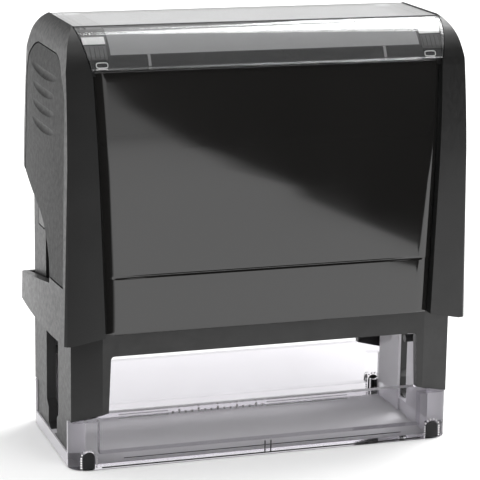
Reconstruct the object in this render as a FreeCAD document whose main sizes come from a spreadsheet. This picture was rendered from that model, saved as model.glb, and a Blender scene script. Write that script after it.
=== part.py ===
import FreeCAD, Part

import math
import os

import Sketcher
from FreeCAD import Rotation, Vector

# Self inking stamp. Millimetres. The origin is the middle of the base's underside.
# X runs along the length, +Y is the back and +Z is up. The cap is modelled at rest, fully up.

# Every driving dimension: name, millimetres, meaning.
SIZES = [
    ("travel", 25.0, "how far the cap goes down"),
    ("gap", 0.3, "air between parts that move past each other"),
    # frame
    ("frame_x", 44.6, "half length of the frame"),
    ("frame_y", 19.6, "half depth of the frame's legs and rail"),
    ("frame_flat_x", 37.9, "half length of the flat front"),
    ("frame_corner_y", 17.7, "half depth at the frame's ends"),
    ("frame_upper_y", 17.3, "half depth above the rail"),
    ("shoulder_z", 31.0, "top of the full depth rail"),
    ("ramp", 1.0, "height of a sloped step in a wall"),
    ("frame_top", 57.0, "top of the frame's deck"),
    ("deck", 2.0, "thickness of the deck"),
    ("frame_foot", 3.0, "underside of the frame's end walls"),
    ("end_wall", 2.2, "thickness of the frame's end walls"),
    ("lower_in_y", 17.8, "inner half depth of the legs"),
    ("upper_in_y", 15.8, "inner half depth above the rail"),
    ("window_x", 36.0, "half width of the window at its top"),
    ("window_foot_x", 36.5, "half width of the window at its foot"),
    ("window_z", 25.7, "top of the window"),
    ("window_foot", 12.8, "where the window meets the clear base"),
    ("window_round", 0.8, "rounding of the window's top corners"),
    ("leg_foot", 10.5, "foot of the legs at the frame's ends"),
    ("leg_inset", 0.2, "how far a leg's foot stands inside the print opening's edge"),
    ("slot_y", 5.75, "half width of the arm's slot"),
    ("slot_low_y", 4.1, "half width of the slot's foot"),
    ("slot_step", 9.0, "top of the slot's step"),
    ("slot_bevel", 1.4, "height of the slot's step"),
    ("slot_foot", 4.0, "where the slot's foot turns to a point"),
    ("slot_tip", 2.4, "the slot's lowest point"),
    # clear base
    ("base_x", 45.0, "half length of the base"),
    ("base_y", 19.6, "half depth of the base"),
    ("base_round", 4.2, "plan rounding of the base's corners"),
    ("base_rim", 3.0, "height of the rim round the print opening"),
    ("opening_x", 41.4, "half length of the print opening"),
    ("opening_y", 15.3, "half depth of the print opening"),
    ("post_x", 38.2, "inner side of the corner posts"),
    ("upright_x", 41.0, "inner face of a clear upright"),
    ("upright_y0", 8.2, "inner edge of a clear upright's thick part"),
    ("upright_y1", 14.9, "outer edge of a clear upright"),
    ("upright_z", 28.2, "top of a clear upright"),
    ("liner_y", 2.6, "inner edge of a clear upright's thin part"),
    ("liner", 0.6, "thickness of a clear upright's thin part"),
    ("foot_x", 40.9, "middle of a rubber foot"),
    ("foot_y", 17.5, "middle of a rubber foot"),
    ("foot_r", 1.3, "radius of a rubber foot"),
    ("foot_z", 3.4, "height of a rubber foot"),
    ("foot_fit", 0.05, "air between a rubber foot and its pocket"),
    # cap
    ("cap_top", 97.6, "top of the cap"),
    ("cap_foot", 29.3, "foot of the cap's ends"),
    ("cap_foot_in", 31.0, "foot of the cap between the ends"),
    ("cap_y", 22.8, "half depth of the cap's foot"),
    ("cap_mid_y", 22.4, "half depth where the front starts to curve"),
    ("cap_mid_z", 62.0, "height where the front starts to curve"),
    ("cap_brow_y", 20.2, "half depth at the window's lip"),
    ("cap_brow_z", 87.5, "height of the brow"),
    ("cap_flat_y", 11.0, "half depth of the flat top"),
    ("brow_r", 172.0, "radius of the front's upper curve"),
    ("crown_r", 12.6, "radius of the curve into the flat top"),
    ("cap_corner_x", 46.9, "half length at the front corners' foot"),
    ("cap_corner_y", 21.2, "half depth at the end faces"),
    ("cap_front_x", 45.3, "half length of the flat front"),
    ("cap_end_x", 47.7, "half length at the foot of an end's middle"),
    ("cap_lean", 1.3, "degrees that the ends lean in"),
    ("end_z", 74.0, "where the end face starts to curve in"),
    ("end_x", 46.9, "half length where the end face starts to curve in"),
    ("cheek_x", 45.1, "half length under the top rounding"),
    ("cheek_z", 92.2, "height under the top rounding"),
    ("cap_top_x", 42.4, "half length of the flat top"),
    ("cheek_r", 90.0, "radius of the end's upper curve"),
    ("shoulder_r", 10.0, "radius of the top rounding"),
    ("slant", 7.0, "degrees that a block's front turns outward"),
    ("cap_in_x", 45.35, "inner half length where the cap passes the base"),
    ("cap_in_z", 40.0, "how high the base reaches into the cap"),
    ("cap_mid_in_x", 44.95, "inner half length where the cap passes the frame"),
    ("cap_mid_in_z", 82.6, "how high the frame reaches into the cap"),
    ("cap_top_in_x", 44.1, "inner half length under the roof"),
    ("skin", 2.7, "block face to the cap's inner face"),
    ("draft", 0.1, "how much thinner the cap's walls are at mid height"),
    ("recess", 1.7, "block face down to the middle"),
    ("roof_in", 94.3, "underside of the roof"),
    ("inner_brow_y", 17.4, "inner half depth at the brow"),
    ("inner_top_y", 10.6, "inner half depth under the roof"),
    ("block_foot_x", 37.8, "inner edge of the end block at its foot"),
    ("block_brow_x", 40.0, "inner edge of the end block at the brow"),
    ("panel_top", 88.8, "top of the glossy panel"),
    ("panel_skin", 0.8, "thickness of the panel's skin"),
    ("plateau", 0.6, "how far the panel's face is raised"),
    ("plateau_foot_x", 35.3, "half width of the raised face at its foot"),
    ("plateau_top_x", 38.4, "half width of the raised face at its top"),
    ("plateau_foot_z", 32.0, "foot of the raised face"),
    ("groove_x", 34.0, "half width of the panel's groove"),
    ("groove_z", 43.5, "height of the panel's groove"),
    ("groove_w", 0.7, "width of the panel's groove"),
    ("rear_open_foot", 36.0, "foot of the cartridge's way out"),
    ("rear_open_top", 75.2, "top of the cartridge's way out"),
    ("notch_rear_z", 60.6, "top of the finger notch at the back"),
    ("notch_mid_z", 55.0, "top of the finger notch at its front"),
    ("notch_mid_y", 1.0, "where the notch starts to turn down"),
    ("notch_front_y", 9.2, "front of the finger notch"),
    ("notch_foot_z", 40.6, "foot of the finger notch at its front"),
    ("notch_rear_foot", 35.0, "foot of the finger notch at the back"),
    ("notch_r", 17.0, "radius of the notch's front"),
    ("notch_in_x", 38.6, "how far in the notch reaches"),
    # grip panels
    ("grip_y", 19.6, "half depth of the grip panel's foot"),
    ("grip_mid_y", 18.5, "half depth where the panel's top corner starts"),
    ("grip_mid_z", 82.0, "height where the panel's top corner starts"),
    ("grip_top_y", 8.5, "half depth where the panel's top corner ends"),
    ("grip_corner_r", 11.5, "radius of the panel's top corner"),
    ("grip_foot", 41.8, "foot of the grip panel"),
    ("grip_top", 91.4, "top of the grip panel"),
    ("grip_sunk", 0.1, "how far the grip panel sits below the cap"),
    ("grip_thick", 0.75, "depth of the grip panel's pocket"),
    ("rib_foot_z", 73.7, "lowest grip groove"),
    ("rib_step", 4.0, "distance between grip grooves"),
    ("rib_ring", 92.0, "radius of the ring that scoops a groove"),
    ("rib_tube", 1.4, "radius of that ring's tube"),
    ("rib_deep", 0.45, "depth of a grip groove"),
    ("rib_tilt", 65.0, "degrees that the ring leans over"),
    # index window
    ("lens_sunk", 0.2, "how far the window sits below the blocks"),
    ("lens", 1.15, "thickness of the window"),
    ("lens_side", 0.25, "side clearance of the window"),
    ("card", 0.2, "thickness of the index card"),
    ("card_x", 35.4, "half length of the index card"),
    ("card_foot", 91.6, "lower edge of the index card"),
    # yoke and springs
    ("arm_in_x", 42.0, "inner face of an arm"),
    ("arm_out_x", 44.0, "outer face of an arm"),
    ("arm_y", 5.35, "half width of an arm"),
    ("arm_boss", 3.6, "radius of an arm's foot"),
    ("bar_z", 91.3, "underside of the yoke's bar"),
    ("spring_x", 26.0, "where the springs stand"),
    ("coil_r", 3.9, "mean radius of a return spring"),
    ("wire_r", 0.5, "radius of the spring wire"),
    ("coils", 6.5, "turns of a return spring"),
    ("guide_r", 2.6, "radius of a spring guide"),
    ("guide_z", 8.0, "height of a spring guide"),
    ("tower_x", 36.0, "half length of the walls beside the springs"),
    ("tower_y", 6.3, "inner half depth of the walls beside the springs"),
    ("tower_wall", 1.2, "thickness of the walls beside the springs"),
    ("tower_top", 68.6, "top of the walls beside the springs"),
    # die
    ("axle_z", 33.0, "height of the die's axle at rest"),
    ("pin_r", 2.0, "radius of a pivot pin"),
    ("pin_fit", 0.05, "radial running fit of a pivot pin"),
    ("pin_out_x", 44.0, "outer end of a pivot pin"),
    ("mount_x", 38.4, "half length of the die mount"),
    ("die_y", 12.5, "half depth of the die"),
    ("mount_lo", 3.0, "axle to the back of the mount's plate"),
    ("mount_hi", 5.0, "axle to the front of the mount's plate"),
    ("cushion_hi", 6.2, "axle to the front of the cushion"),
    ("plate_hi", 7.5, "axle to the text plate's ground"),
    ("relief_hi", 8.0, "axle to the printing face"),
    ("die_x", 35.3, "half length of the text plate"),
    ("cheek_w", 2.0, "thickness of the mount's ends"),
    ("cheek_y", 7.5, "half depth of the mount's ends"),
    ("mount_rib_y", 6.875, "place of a rib under the mount"),
    ("arm_rise", 2.4, "height over which a yoke arm widens above its boss"),
    ("cam_r", 5.0, "radius of a turning cam"),
    ("cam_out_x", 40.6, "outer face of a turning cam"),
    ("guide_pin_y", 6.4, "where the fixed turning pins stand"),
    ("guide_pin_r", 0.9, "radius of a fixed turning pin"),
    # cartridge
    ("tray_x", 37.9, "half length of the cartridge"),
    ("tray_foot", 42.9, "rim of the cartridge"),
    ("tray_top", 49.0, "top of the cartridge"),
    ("tray_front_y", 15.2, "front of the cartridge"),
    ("tray_rear_y", 17.9, "back of the cartridge"),
    ("grip_rear_y", 19.4, "back of the cartridge's grip"),
    ("pad_z", 42.5, "inked face of the pad"),
    ("pad_top", 46.5, "top of the pad"),
    ("pad_x", 35.9, "half length of the pad"),
    ("pad_y", 13.2, "half depth of the pad"),
    ("rail_x", 37.3, "inner edge of a cartridge rail"),
    ("rail_lo", 45.0, "underside of a cartridge rail"),
    ("rail_hi", 46.0, "top of a cartridge rail"),
    # lock buttons
    ("lock_y", 9.9, "middle of a lock button"),
    ("lock_z", 51.2, "height of a lock button"),
    ("lock_w", 5.4, "width of a lock button"),
    ("lock_tall", 4.4, "height of a lock button"),
    ("lock_in_x", 40.8, "inner end of a lock button"),
    # text plate
    ("bar_half_width", 1.3, "half width of a printing bar"),
    ("bar_step", 5.0, "distance between printing bars"),
    ("mount_rib", 0.6, "half thickness of a mount's rib"),
]

doc = FreeCAD.newDocument("self_inking_stamp")
sheet = doc.addObject("Spreadsheet::Sheet", "Sizes")
for row, (alias, value, meaning) in enumerate(SIZES, start=1):
    sheet.set(f"A{row}", meaning)
    sheet.set(f"B{row}", str(value))
    sheet.setAlias(f"B{row}", alias)
doc.recompute()


class Dim:
    """A length that knows its value and the spreadsheet expression behind it."""

    def __init__(self, value, text):
        self.value = value
        self.text = text

    def _join(self, other, sign, value):
        return Dim(value, f"({self.text} {sign} {as_dim(other).text})")

    def __add__(self, other):
        return self._join(other, "+", self.value + as_dim(other).value)

    def __sub__(self, other):
        return self._join(other, "-", self.value - as_dim(other).value)

    def __mul__(self, other):
        return self._join(other, "*", self.value * as_dim(other).value)

    def __truediv__(self, other):
        return self._join(other, "/", self.value / as_dim(other).value)

    def __neg__(self):
        return Dim(-self.value, f"(-1 * {self.text})")


def as_dim(value):
    return value if isinstance(value, Dim) else Dim(float(value), repr(float(value)))


D = {alias: Dim(value, f"Sizes.{alias}") for alias, value, meaning in SIZES}

# Height or depth used where a cutter only has to reach past the part.
FAR = as_dim(60.0)
DEEP = as_dim(24.0)
# A cutting tool reaches this far past what it cuts.
PAST = as_dim(1.0)
# How much of an inward offset narrows the cap's flat top.
FLAT_SHARE = 0.6
# Lengths of the plain bars on the text plate, as shares of its length.
BAR_SHARES = (0.5, 0.78, 0.66, 0.88)


def bind(obj, prop, value):
    obj.setExpression(prop, as_dim(value).text)


def place(obj, x, y, z, turn=None):
    if turn is not None:
        obj.Placement.Rotation = turn
    bind(obj, "Placement.Base.x", x)
    bind(obj, "Placement.Base.y", y)
    bind(obj, "Placement.Base.z", z)
    return obj


def box(name, low, high):
    obj = doc.addObject("Part::Box", name)
    low = [as_dim(v) for v in low]
    high = [as_dim(v) for v in high]
    for prop, a, b in zip(("Length", "Width", "Height"), low, high):
        bind(obj, prop, b - a)
    return place(obj, *low)


def cylinder(name, radius, length, start, axis="z"):
    turns = {
        "x": Rotation(Vector(0, 1, 0), 90),
        "y": Rotation(Vector(1, 0, 0), -90),
        "z": Rotation(),
    }
    obj = doc.addObject("Part::Cylinder", name)
    bind(obj, "Radius", radius)
    bind(obj, "Height", length)
    return place(obj, *start, turn=turns[axis])


def fuse(name, parts):
    obj = doc.addObject("Part::MultiFuse", name)
    obj.Shapes = parts
    return obj


def common(name, parts):
    obj = doc.addObject("Part::MultiCommon", name)
    obj.Shapes = parts
    return obj


def cut(name, base, tools):
    obj = doc.addObject("Part::Cut", name)
    obj.Base = base
    obj.Tool = tools[0] if len(tools) == 1 else fuse(name + "_tools", tools)
    return obj


def both_ends(half):
    """A closed outline from its right half, which runs from the foot to the top.

    A third entry is the radius of the arc that arrives at that point, as
    positive when it bulges outward and negative when it is hollow.
    """
    points = [tuple(p) + (None,) * (3 - len(p)) for p in half]
    outline = list(points)
    for index in range(len(points) - 1, -1, -1):
        x, y, _ = points[index]
        radius = points[index + 1][2] if index + 1 < len(points) else None
        outline.append((-as_dim(x), y, radius))
    return outline


def arc_between(start, end, radius):
    """The minor arc from start to end, its centre on the left when radius is positive."""
    mid = (start + end) * 0.5
    chord = end - start
    rise = math.sqrt(radius ** 2 - (chord.Length / 2) ** 2)
    left = Vector(-chord.y, chord.x, 0).normalize()
    centre = mid + left * math.copysign(rise, radius)
    first, last = (start, end) if radius > 0 else (end, start)
    a0 = math.atan2(first.y - centre.y, first.x - centre.x)
    a1 = math.atan2(last.y - centre.y, last.x - centre.x)
    if a1 < a0:
        a1 += 2 * math.pi
    circle = Part.Circle(centre, Vector(0, 0, 1), abs(radius))
    return Part.ArcOfCircle(circle, a0, a1)


def draw(sketch, outline):
    """Draw a closed outline whose corners and radii follow the spreadsheet."""
    outline = [tuple(p) + (None,) * (3 - len(p)) for p in outline]
    corners = [(as_dim(x), as_dim(y)) for x, y, _ in outline]
    count = len(corners)
    ends = []
    for index in range(count):
        after = (index + 1) % count
        start = Vector(corners[index][0].value, corners[index][1].value, 0)
        end = Vector(corners[after][0].value, corners[after][1].value, 0)
        radius = outline[after][2]
        if radius is None:
            sketch.addGeometry(Part.LineSegment(start, end))
            ends.append((1, 2))
            continue
        radius = as_dim(radius)
        sketch.addGeometry(arc_between(start, end, radius.value))
        ends.append((1, 2) if radius.value > 0 else (2, 1))
        number = sketch.addConstraint(Sketcher.Constraint("Radius", index, abs(radius.value)))
        text = radius.text if radius.value > 0 else (-radius).text
        sketch.setExpression(f"Constraints[{number}]", text)
    for index in range(count):
        before = (index - 1) % count
        sketch.addConstraint(
            Sketcher.Constraint("Coincident", before, ends[before][1], index, ends[index][0])
        )
        for kind, size in zip(("DistanceX", "DistanceY"), corners[index]):
            number = sketch.addConstraint(
                Sketcher.Constraint(kind, -1, 1, index, ends[index][0], size.value)
            )
            sketch.setExpression(f"Constraints[{number}]", size.text)


def prism(name, plane, outline, start, end):
    """Pad an outline drawn on an origin plane from start to end along the plane's axis."""
    body = doc.addObject("PartDesign::Body", name)
    sketch = body.newObject("Sketcher::SketchObject", name + "_sketch")
    role = plane + "_Plane"
    support = [f for f in body.Origin.OriginFeatures if f.Role == role][0]
    sketch.AttachmentSupport = [(support, "")]
    sketch.MapMode = "FlatFace"
    # The XZ plane faces -Y, so its pads run from the larger Y to the smaller one.
    offset = -as_dim(end) if plane == "XZ" else as_dim(start)
    bind(sketch, "AttachmentOffset.Base.z", offset)
    draw(sketch, outline)
    pad = body.newObject("PartDesign::Pad", name + "_pad")
    pad.Profile = sketch
    bind(pad, "Length", as_dim(end) - start)
    body.Tip = pad
    sketch.Visibility = False
    return body


def finish(name, obj):
    obj.Label = name
    nodes.append((name, obj))
    return obj


def sides(name, build):
    """Build a piece for the left (-1) and the right (+1) end and fuse the two."""
    return fuse(name, [build(f"{name}_{label}", sign) for label, sign in SIDES])


def end_box(name, sign, inner, outer, low, high):
    """A box at one end, given its inner and outer distance from the middle."""
    a, b = as_dim(inner) * sign, as_dim(outer) * sign
    x0, x1 = (a, b) if sign > 0 else (b, a)
    return box(name, (x0, low[0], low[1]), (x1, high[0], high[1]))


def end_prism(name, sign, outline, inner, outer):
    """A pad along X at one end, given its inner and outer distance from the middle."""
    a, b = as_dim(inner) * sign, as_dim(outer) * sign
    x0, x1 = (a, b) if sign > 0 else (b, a)
    return prism(name, "YZ", outline, x0, x1)


def end_cylinder(name, sign, radius, inner, outer, y, z):
    a, b = as_dim(inner) * sign, as_dim(outer) * sign
    start = a if sign > 0 else b
    return cylinder(name, radius, as_dim(outer) - inner, (start, y, z), "x")


SIDES = (("left", -1), ("right", 1))
DEPTHS = (("front", -1), ("back", 1))
nodes = []


def turning_height():
    """Where the fixed turning pins stand: half way down the axle's travel."""
    return D["axle_z"] - D["travel"] / 2


# ---------------------------------------------------------------- frame

def frame_outer():
    profile = both_ends([
        (D["opening_y"] - D["leg_inset"], D["frame_foot"]),
        (D["opening_y"] - D["leg_inset"], D["leg_foot"]),
        (D["frame_y"], D["leg_foot"]),
        (D["frame_y"], D["shoulder_z"]),
        (D["frame_upper_y"], D["shoulder_z"] + D["ramp"] * 2),
        (D["frame_upper_y"], D["frame_top"]),
    ])
    block = prism("frame_block", "YZ", profile, -D["frame_x"], D["frame_x"])
    plan = both_ends([
        (D["frame_flat_x"], -D["frame_y"]),
        (D["frame_x"], -D["frame_corner_y"]),
        (D["frame_x"], D["frame_corner_y"]),
        (D["frame_flat_x"], D["frame_y"]),
    ])
    return common("frame_outer", [block, prism("frame_plan", "XY", plan, -2, FAR)])


def frame_cavity():
    profile = both_ends([
        (D["lower_in_y"], -1),
        (D["lower_in_y"], D["shoulder_z"] - D["ramp"]),
        (D["upper_in_y"], D["shoulder_z"] + D["ramp"]),
        (D["upper_in_y"], D["frame_top"] - D["deck"]),
    ])
    inner = D["frame_x"] - D["end_wall"]
    return prism("frame_cavity", "YZ", profile, -inner, inner)


def frame_window():
    """The opening through the front and back, with the legs' sloping feet."""
    rounded = D["window_round"]
    outline = both_ends([
        (D["frame_x"] + PAST, 0),
        (D["frame_x"] + PAST, D["leg_foot"]),
        (D["window_foot_x"], D["window_foot"]),
        (D["window_x"], D["window_z"] - rounded),
        (D["window_x"] - rounded, D["window_z"], rounded),
    ])
    front = prism("window_front", "XZ", outline, -DEEP, -D["opening_y"])
    back = prism("window_back", "XZ", outline, D["opening_y"], DEEP)
    return [front, back]


def arm_slot(name, sign):
    outline = [
        (0, D["slot_tip"]),
        (D["slot_low_y"], D["slot_foot"]),
        (D["slot_low_y"], D["slot_step"] - D["slot_bevel"]),
        (D["slot_y"], D["slot_step"]),
        (D["slot_y"], FAR),
        (-D["slot_y"], FAR),
        (-D["slot_y"], D["slot_step"]),
        (-D["slot_low_y"], D["slot_step"] - D["slot_bevel"]),
        (-D["slot_low_y"], D["slot_foot"]),
    ]
    return end_prism(name, sign, outline, D["arm_in_x"] - D["gap"], D["base_x"] + PAST)


def lock_hole(name, sign):
    half_w = D["lock_w"] / 2 + D["gap"]
    half_h = D["lock_tall"] / 2 + D["gap"]
    low = (D["lock_y"] - half_w, D["lock_z"] - half_h)
    high = (D["lock_y"] + half_w, D["lock_z"] + half_h)
    return end_box(name, sign, D["lock_in_x"], D["base_x"] + PAST, low, high)


def cartridge_rail(name, sign):
    """A rail across the frame; it stops short of the arm's slot."""
    inner = end_box(
        name + "_bar", sign, D["rail_x"], D["arm_in_x"] - D["gap"] * 2,
        (-D["upper_in_y"], D["rail_lo"]), (D["upper_in_y"], D["rail_hi"]),
    )
    parts = [inner]
    for label, y0, y1 in (
        ("front", -D["upper_in_y"], -D["slot_y"] - D["gap"]),
        ("back", D["slot_y"] + D["gap"], D["upper_in_y"]),
    ):
        parts.append(end_box(
            f"{name}_{label}", sign, D["rail_x"], D["frame_x"] - D["end_wall"],
            (y0, D["rail_lo"]), (y1, D["rail_hi"]),
        ))
    return fuse(name, parts)


def spring_walls():
    """Two low walls on the deck with the return springs between them."""
    outer_y = D["tower_y"] + D["tower_wall"]
    walls = []
    for label, y0, y1 in (("front", -outer_y, -D["tower_y"]), ("back", D["tower_y"], outer_y)):
        walls.append(box(
            f"spring_wall_{label}",
            (-D["tower_x"], y0, D["frame_top"]),
            (D["tower_x"], y1, D["tower_top"]),
        ))
    return walls


def frame_housing():
    cutters = [frame_cavity()] + frame_window()
    cutters += [arm_slot(f"slot_{label}", sign) for label, sign in SIDES]
    cutters += [lock_hole(f"lock_hole_{label}", sign) for label, sign in SIDES]
    way_out = D["gap"] + D["pin_fit"] * 2
    cutters.append(box(
        "frame_rear_opening",
        (-D["tray_x"] - way_out, D["upper_in_y"] - PAST, D["pad_z"] - way_out),
        (D["tray_x"] + way_out, DEEP, D["tray_top"] + way_out),
    ))
    shell = cut("frame_shell", frame_outer(), cutters)
    rails = [cartridge_rail(f"rail_{label}", sign) for label, sign in SIDES]
    finish("frame_housing", fuse("frame_all", [shell] + rails + spring_walls()))


# ---------------------------------------------------------------- clear base and feet

def rounded_plan(name, height):
    x, y, r = D["base_x"], D["base_y"], D["base_round"]
    outline = both_ends([
        (x - r, -y),
        (x, r - y, r),
        (x, y - r),
        (x - r, y, r),
    ])
    return prism(name, "XY", outline, 0, height)


def base_walls():
    """The front and back walls, whose tops meet the sloping feet of the legs."""
    outline = both_ends([
        (D["base_x"], 0),
        (D["base_x"], D["leg_foot"]),
        (D["window_foot_x"], D["window_foot"]),
    ])
    front = prism("base_front", "XZ", outline, -D["base_y"], -D["lower_in_y"])
    back = prism("base_back", "XZ", outline, D["lower_in_y"], D["base_y"])
    return [front, back]


def base_posts():
    posts = []
    for label, sign in SIDES:
        for side, y0, y1 in (
            ("front", -D["base_y"], -D["opening_y"]),
            ("back", D["opening_y"], D["base_y"]),
        ):
            posts.append(end_box(
                f"post_{side}_{label}", sign, D["post_x"], D["base_x"],
                (y0, 0), (y1, D["leg_foot"]),
            ))
    return posts


def feet(name, extra):
    """One cylinder under each corner post."""
    pieces = []
    for label, sign in SIDES:
        for side, sign_y in DEPTHS:
            start = (D["foot_x"] * sign, D["foot_y"] * sign_y, 0)
            pieces.append(cylinder(
                f"{name}_{side}_{label}", D["foot_r"] + extra, D["foot_z"] + extra, start,
            ))
    return pieces


def upright(name, sign, sign_y):
    """A clear plate against the inside of the frame's end, thin where it passes the arm."""
    near, middle, far = [D[key] * sign_y for key in ("liner_y", "upright_y0", "upright_y1")]
    thick = (middle, far) if sign_y > 0 else (far, middle)
    thin = (near, middle) if sign_y > 0 else (middle, near)
    plates = [
        end_box(name + "_thick", sign, D["upright_x"], D["frame_x"] - D["end_wall"],
                (thick[0], 0), (thick[1], D["upright_z"])),
        end_box(name + "_thin", sign, D["upright_x"], D["upright_x"] + D["liner"],
                (thin[0], 0), (thin[1], D["upright_z"])),
    ]
    hole = end_cylinder(
        name + "_hole", sign, D["guide_pin_r"] + D["pin_fit"], D["upright_x"] - PAST, D["frame_x"],
        D["guide_pin_y"] * sign_y, turning_height(),
    )
    return cut(name, fuse(name + "_plates", plates), [hole])


def uprights():
    return [
        upright(f"upright_{side}_{label}", sign, sign_y)
        for label, sign in SIDES for side, sign_y in DEPTHS
    ]


def clear_base():
    rim = box(
        "base_rim_block",
        (-D["base_x"], -D["base_y"], 0),
        (D["base_x"], D["base_y"], D["base_rim"]),
    )
    solid = fuse("base_solid", [rim] + base_walls() + base_posts())
    body = common("base_body", [solid, rounded_plan("base_plan", D["window_foot"] + PAST)])
    opening = box(
        "print_opening",
        (-D["opening_x"], -D["opening_y"], -1),
        (D["opening_x"], D["opening_y"], D["base_rim"] + PAST),
    )
    ring = cut("base_cut", body, [opening] + feet("pocket", D["foot_fit"]))
    finish("clear_base", fuse("base_all", [ring] + uprights()))
    finish("rubber_feet", fuse("feet_all", feet("foot", 0)))


# ---------------------------------------------------------------- cap

def cap_profile(offset):
    """The cap's end view, moved inward by an offset."""
    return both_ends([
        (D["cap_y"] - offset, D["cap_foot"] - PAST),
        (D["cap_mid_y"] - offset, D["cap_mid_z"]),
        (D["cap_brow_y"] - offset, D["cap_brow_z"], D["brow_r"]),
        (D["cap_flat_y"] - offset * FLAT_SHARE, D["cap_top"] - offset, D["crown_r"]),
    ])


def cap_layer(name, offset, half_length=None):
    reach = D["base_x"] + PAST * 6 if half_length is None else half_length
    return prism(name, "YZ", cap_profile(as_dim(offset)), -reach, reach)


def cap_front_view(name, offset):
    """The cap from the front, its ends moved in by an offset."""
    offset = as_dim(offset)
    outline = both_ends([
        (D["block_foot_x"], D["cap_foot_in"]),
        (D["cap_front_x"], D["cap_foot"]),
        (D["cap_end_x"] + PAST, D["cap_foot"]),
        (D["cap_end_x"] + PAST, D["end_z"]),
        (D["end_x"] - offset, D["end_z"]),
        (D["cheek_x"] - offset, D["cheek_z"], D["cheek_r"]),
        (D["cap_top_x"] - offset, D["cap_top"], D["shoulder_r"]),
    ])
    return prism(name, "XZ", outline, -DEEP - PAST * 2, DEEP + PAST * 2)


def turn_about(obj, x, y, z, axis, angle):
    """Turn a piece about a line through (x, y, z)."""
    turn = Rotation(axis, angle)
    pivot = Vector(as_dim(x).value, as_dim(y).value, as_dim(z).value)
    moved = pivot - turn.multVec(pivot)
    return place(obj, moved.x, moved.y, moved.z, turn)


def cap_plan(name, offset):
    """The cap from above, moved in by an offset: its ends bow outward and lean in with height."""
    offset = as_dim(offset)
    bulge = D["cap_end_x"] - D["cap_corner_x"]
    bow = (D["cap_corner_y"] * D["cap_corner_y"] + bulge * bulge) / (bulge * 2)
    corner_x = D["cap_corner_x"] - offset
    outline = [
        (D["cap_front_x"], -D["cap_y"]),
        (corner_x, -D["cap_corner_y"]),
        (corner_x, D["cap_corner_y"], bow),
        (D["cap_front_x"], D["cap_y"]),
        (-D["cap_front_x"], D["cap_y"]),
        (-corner_x, D["cap_corner_y"]),
        (-corner_x, -D["cap_corner_y"], bow),
        (-D["cap_front_x"], -D["cap_y"]),
    ]
    leaning = []
    for label, sign in SIDES:
        plan = prism(f"{name}_{label}", "XY", outline, D["cap_foot"] - PAST * 3, D["cap_top"] + PAST * 4)
        angle = -D["cap_lean"].value * sign
        leaning.append(turn_about(plan, D["cap_corner_x"] * sign, 0, D["cap_foot"], Vector(0, 1, 0), angle))
    return common(name, leaning)


def cap_ends(name, offset):
    """The form between the cap's two end faces, moved in by an offset."""
    return common(name, [cap_plan(name + "_plan", offset), cap_front_view(name + "_front_view", offset)])


def slanted_front(name, sign_x, sign_y):
    """What a block loses so that its front turns outward from its inner edge."""
    view = cap_layer(name + "_view", 0)
    angle = -D["slant"].value * sign_x * sign_y
    turn_about(view, D["block_foot_x"] * sign_x, D["cap_y"] * sign_y, 0, Vector(0, 0, 1), angle)
    y0, y1 = (-DEEP - PAST * 2, 0) if sign_y < 0 else (0, DEEP + PAST * 2)
    room = end_box(
        name + "_room", sign_x, D["block_foot_x"], D["base_x"] + PAST * 6,
        (y0, D["cap_foot"] - PAST), (y1, D["cap_top"] + PAST),
    )
    return cut(name, room, [view])


def cap_form(name):
    """The cap's outer form: its three views met, then the blocks' fronts slanted."""
    views = common(name + "_views", [
        cap_layer(name + "_end_view", 0),
        cap_ends(name + "_ends", 0),
    ])
    slants = [
        slanted_front(f"{name}_slant_{side}_{label}", sign, sign_y)
        for label, sign in SIDES for side, sign_y in DEPTHS
    ]
    return cut(name, views, slants)


def cap_cavity():
    """The room inside the cap, which narrows in two steps towards the roof."""
    end_view = prism("cavity_end_view", "YZ", both_ends([
        (D["cap_y"] - D["skin"], D["cap_foot"] - PAST * 2),
        (D["cap_mid_y"] - D["skin"] + D["draft"], D["cap_mid_z"]),
        (D["inner_brow_y"], D["cap_brow_z"], D["brow_r"]),
        (D["inner_top_y"], D["roof_in"], D["crown_r"]),
    ]), -D["cap_in_x"], D["cap_in_x"])
    front_view = prism("cavity_front_view", "XZ", both_ends([
        (D["cap_in_x"], D["cap_foot"] - PAST * 2),
        (D["cap_in_x"], D["cap_in_z"]),
        (D["cap_mid_in_x"], D["cap_in_z"] + D["ramp"]),
        (D["cap_mid_in_x"], D["cap_mid_in_z"]),
        (D["cap_top_in_x"], D["cap_mid_in_z"] + D["ramp"]),
        (D["cap_top_in_x"], D["roof_in"] + PAST),
    ]), -DEEP, DEEP)
    return common("cap_cavity", [end_view, front_view])


def between_blocks(name, shrink, foot, y0, y1):
    """The room between the end blocks, which widens towards the top."""
    outline = both_ends([
        (D["block_foot_x"] - shrink, foot),
        (D["block_brow_x"] - shrink, D["cap_brow_z"]),
        (D["cap_top_x"] - shrink, D["cap_top"]),
        (D["cap_top_x"] - shrink, D["cap_top"] + PAST * 4),
    ])
    return prism(name, "XZ", outline, y0, y1)


def panel_room(name, shrink, y0, y1):
    """The opening that holds a glossy panel."""
    outline = both_ends([
        (D["block_foot_x"] - shrink, D["cap_foot_in"] - PAST * 4),
        (D["block_brow_x"] - shrink, D["panel_top"]),
    ])
    return prism(name, "XZ", outline, y0, y1)


def notch_cutter(name, sign):
    outline = [
        (DEEP + PAST * 2, D["notch_rear_foot"]),
        (DEEP + PAST * 2, D["notch_rear_z"] + PAST * 2),
        (D["notch_mid_y"], D["notch_mid_z"]),
        (-D["notch_front_y"], D["notch_foot_z"], D["notch_r"]),
    ]
    return end_prism(name, sign, outline, D["notch_in_x"], D["cap_end_x"] + PAST * 2)


def grip_outline(shrink):
    return both_ends([
        (D["grip_y"] - shrink, D["grip_foot"] + shrink),
        (D["grip_mid_y"] - shrink, D["grip_mid_z"]),
        (D["grip_top_y"], D["grip_top"] - shrink, D["grip_corner_r"]),
    ])


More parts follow.
